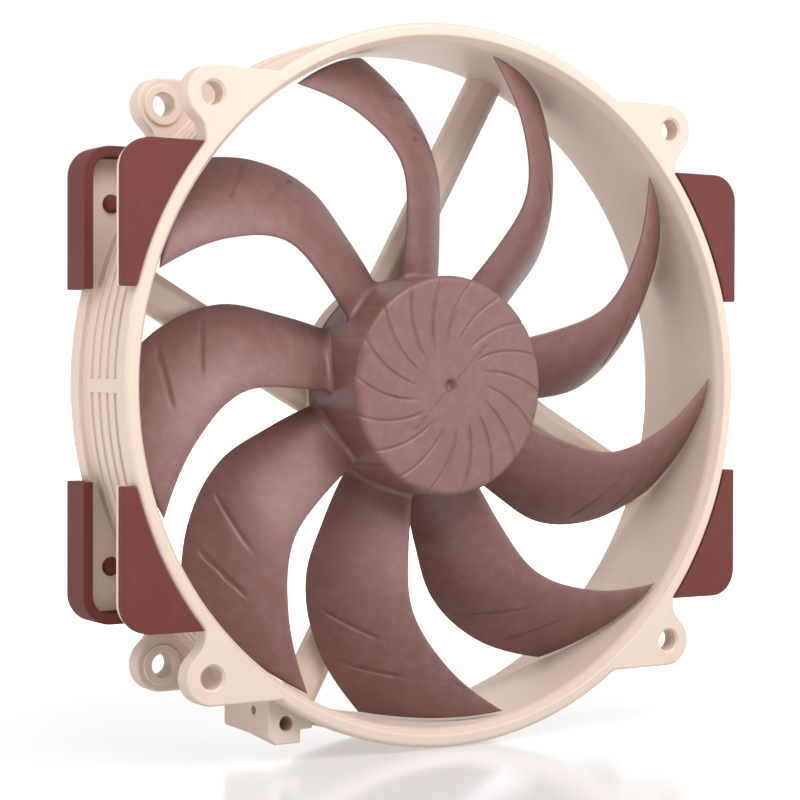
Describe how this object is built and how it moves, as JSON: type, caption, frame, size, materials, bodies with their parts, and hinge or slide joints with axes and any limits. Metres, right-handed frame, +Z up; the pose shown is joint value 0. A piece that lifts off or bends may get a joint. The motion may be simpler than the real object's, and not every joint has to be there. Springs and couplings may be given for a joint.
{
  "type": "case fan",
  "caption": "Round-framed computer case fan with swept blades, soft corner pads and screw ears on both faces.",
  "frame": {"origin": "on the spin axis, half-way through the depth of the frame", "axes": "+Y along the spin axis from the intake face to the exhaust face, +Z up, +X to the right seen from the intake side"},
  "size_m": [0.14, 0.025, 0.1392],
  "materials": {
    "cream_plastic": "satin moulded",
    "red_brown_silicone": "soft matt",
    "brown_plastic": "satin moulded",
    "brass": "turned",
    "sintered_bronze": "porous, oiled",
    "black_rubber": "matt",
    "white_plastic": "moulded",
    "steel": "plain",
    "enamelled_copper": "enamelled wire",
    "board_green": "solder mask",
    "black_plastic": "moulded",
    "capacitor_tan": "fired",
    "ferrite": "bonded magnet"
  },
  "bodies": {
    "housing": {"frame_ring": "cream_plastic", "motor_support": "cream_plastic", "cable_outlet": "cream_plastic", "front_pad_upper_left": "red_brown_silicone", "front_pad_upper_right": "red_brown_silicone", "front_pad_lower_left": "red_brown_silicone", "front_pad_lower_right": "red_brown_silicone", "rear_pad_upper_left": "red_brown_silicone", "rear_pad_upper_right": "red_brown_silicone", "rear_pad_lower_left": "red_brown_silicone", "rear_pad_lower_right": "red_brown_silicone", "bearing_tube": "brass", "bearing_sleeve": "sintered_bronze", "oil_seal": "black_rubber", "thrust_plate": "white_plastic", "stator_core": "steel", "front_insulator": "white_plastic", "rear_insulator": "white_plastic", "coil_1": "enamelled_copper", "coil_2": "enamelled_copper", "coil_3": "enamelled_copper", "coil_4": "enamelled_copper", "circuit_board": "board_green", "hall_sensor": "black_plastic", "driver_chip": "black_plastic", "board_capacitors": "capacitor_tan", "terminal_pins": "brass", "rear_disc": "cream_plastic"},
    "impeller": {"impeller_hub": "brown_plastic", "blade_1": "brown_plastic", "blade_2": "brown_plastic", "blade_3": "brown_plastic", "blade_4": "brown_plastic", "blade_5": "brown_plastic", "blade_6": "brown_plastic", "blade_7": "brown_plastic", "blade_8": "brown_plastic", "blade_9": "brown_plastic", "rotor_yoke": "steel", "magnet_ring": "ferrite", "shaft_boss": "brass", "shaft": "steel", "retaining_clip": "steel"}
  },
  "joints": [
    {"name": "impeller_spin", "type": "hinge", "parent": "housing", "child": "impeller", "pos_m": [0, 0, 0], "axis": [0, -1, 0], "continuous": true}
  ]
}
